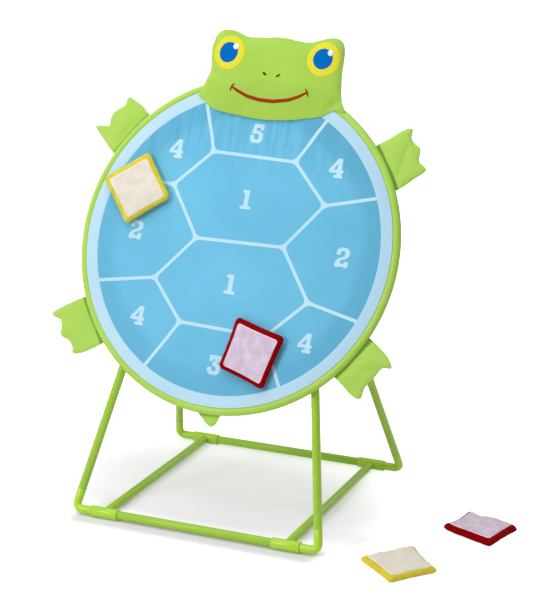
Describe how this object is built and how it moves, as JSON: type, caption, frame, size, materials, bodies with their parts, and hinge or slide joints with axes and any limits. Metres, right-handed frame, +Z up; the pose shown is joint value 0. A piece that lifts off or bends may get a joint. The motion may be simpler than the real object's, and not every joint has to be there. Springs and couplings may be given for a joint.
{
  "type": "turtle target toss game",
  "caption": "Round fabric turtle target on a tube stand, with numbered zones, padded head, feet and tail, and square bean bags that cling to it.",
  "frame": {"origin": "on the floor, under the middle of the whole set's bounding box, floor bags included", "axes": "+Z up, the target faces -Y and leans back towards +Y, +X is to the right as a player sees it"},
  "size_m": [0.8914, 0.5302, 0.8768],
  "materials": {
    "tube": "smooth green powder coat",
    "fitting": "moulded green plastic, satin gloss",
    "hoop": "plain extruded plastic",
    "green_cloth": "brushed polyester",
    "blue_cloth": "brushed loop cloth",
    "pale_cloth": "brushed loop cloth",
    "back_cloth": "plain woven polyester",
    "yellow_cloth": "brushed polyester",
    "red_cloth": "brushed polyester",
    "cream_cloth": "smooth woven panel",
    "pink_cloth": "smooth woven panel",
    "eye_cloth": "sewn felt",
    "pupil_cloth": "sewn felt"
  },
  "bodies": {
    "frame": {"front_bar": "tube", "back_bar": "tube", "left_side_bar": "tube", "right_side_bar": "tube", "front_left_leg": "tube", "front_right_leg": "tube", "back_left_leg": "tube", "back_right_leg": "tube", "top_bar": "tube", "front_left_tee": "fitting", "front_right_tee": "fitting", "back_left_tee": "fitting", "back_right_tee": "fitting", "front_left_elbow": "fitting", "front_right_elbow": "fitting", "back_left_elbow": "fitting", "back_right_elbow": "fitting", "left_top_fitting": "fitting", "right_top_fitting": "fitting", "hoop": "hoop", "rim_binding": "green_cloth", "face_panel": "blue_cloth", "border_band": "pale_cloth", "back_panel": "back_cloth", "left_leg_sleeve": "back_cloth", "right_leg_sleeve": "back_cloth", "left_leg_strap": "back_cloth", "right_leg_strap": "back_cloth", "head": "green_cloth", "left_eye": "eye_cloth", "right_eye": "eye_cloth", "left_pupil": "pupil_cloth", "right_pupil": "pupil_cloth"},
    "upper_left_flap": {"upper_left_foot": "green_cloth"},
    "upper_right_flap": {"upper_right_foot": "green_cloth"},
    "lower_left_flap": {"lower_left_foot": "green_cloth"},
    "lower_right_flap": {"lower_right_foot": "green_cloth"},
    "tail_flap": {"tail": "green_cloth"},
    "yellow_clinging_bag": {"yellow_target_bag": "yellow_cloth", "yellow_target_bag_panel": "cream_cloth"},
    "red_clinging_bag": {"red_target_bag": "red_cloth", "red_target_bag_panel": "pink_cloth"},
    "yellow_loose_bag": {"yellow_floor_bag": "yellow_cloth", "yellow_floor_bag_panel": "cream_cloth"},
    "red_loose_bag": {"red_floor_bag": "red_cloth", "red_floor_bag_panel": "pink_cloth"}
  },
  "joints": [
    {"name": "upper_left_foot_bend", "type": "hinge", "parent": "frame", "child": "upper_left_flap", "pos_m": [-0.35082, 0.06741, 0.67752], "axis": [0.5962, 0.3137, 0.739], "range_deg": [-30, 30]},
    {"name": "upper_right_foot_bend", "type": "hinge", "parent": "frame", "child": "upper_right_flap", "pos_m": [0.17155, 0.06028, 0.66073], "axis": [0.5388, -0.3292, -0.7755], "range_deg": [-30, 30]},
    {"name": "lower_left_foot_bend", "type": "hinge", "parent": "frame", "child": "lower_left_flap", "pos_m": [-0.36341, -0.07339, 0.3458], "axis": [-0.5388, 0.3292, 0.7755], "range_deg": [-30, 30]},
    {"name": "lower_right_foot_bend", "type": "hinge", "parent": "frame", "child": "lower_right_flap", "pos_m": [0.15896, -0.08052, 0.32901], "axis": [-0.5962, -0.3137, -0.739], "range_deg": [-30, 30]},
    {"name": "tail_bend", "type": "hinge", "parent": "frame", "child": "tail_flap", "pos_m": [-0.09593, -0.13061, 0.211], "axis": [-1, 0, 0], "range_deg": [-30, 30]},
    {"name": "yellow_bag_peel", "type": "slide", "parent": "frame", "child": "yellow_clinging_bag", "axis": [0, -0.9205, 0.3907], "range_m": [0, 0.15]},
    {"name": "red_bag_peel", "type": "slide", "parent": "frame", "child": "red_clinging_bag", "axis": [0, -0.9205, 0.3907], "range_m": [0, 0.15]},
    {"name": "yellow_bag_lift", "type": "slide", "parent": "frame", "child": "yellow_loose_bag", "axis": [0, 0, 1], "range_m": [0, 0.15]},
    {"name": "red_bag_lift", "type": "slide", "parent": "frame", "child": "red_loose_bag", "axis": [0, 0, 1], "range_m": [0, 0.15]}
  ]
}
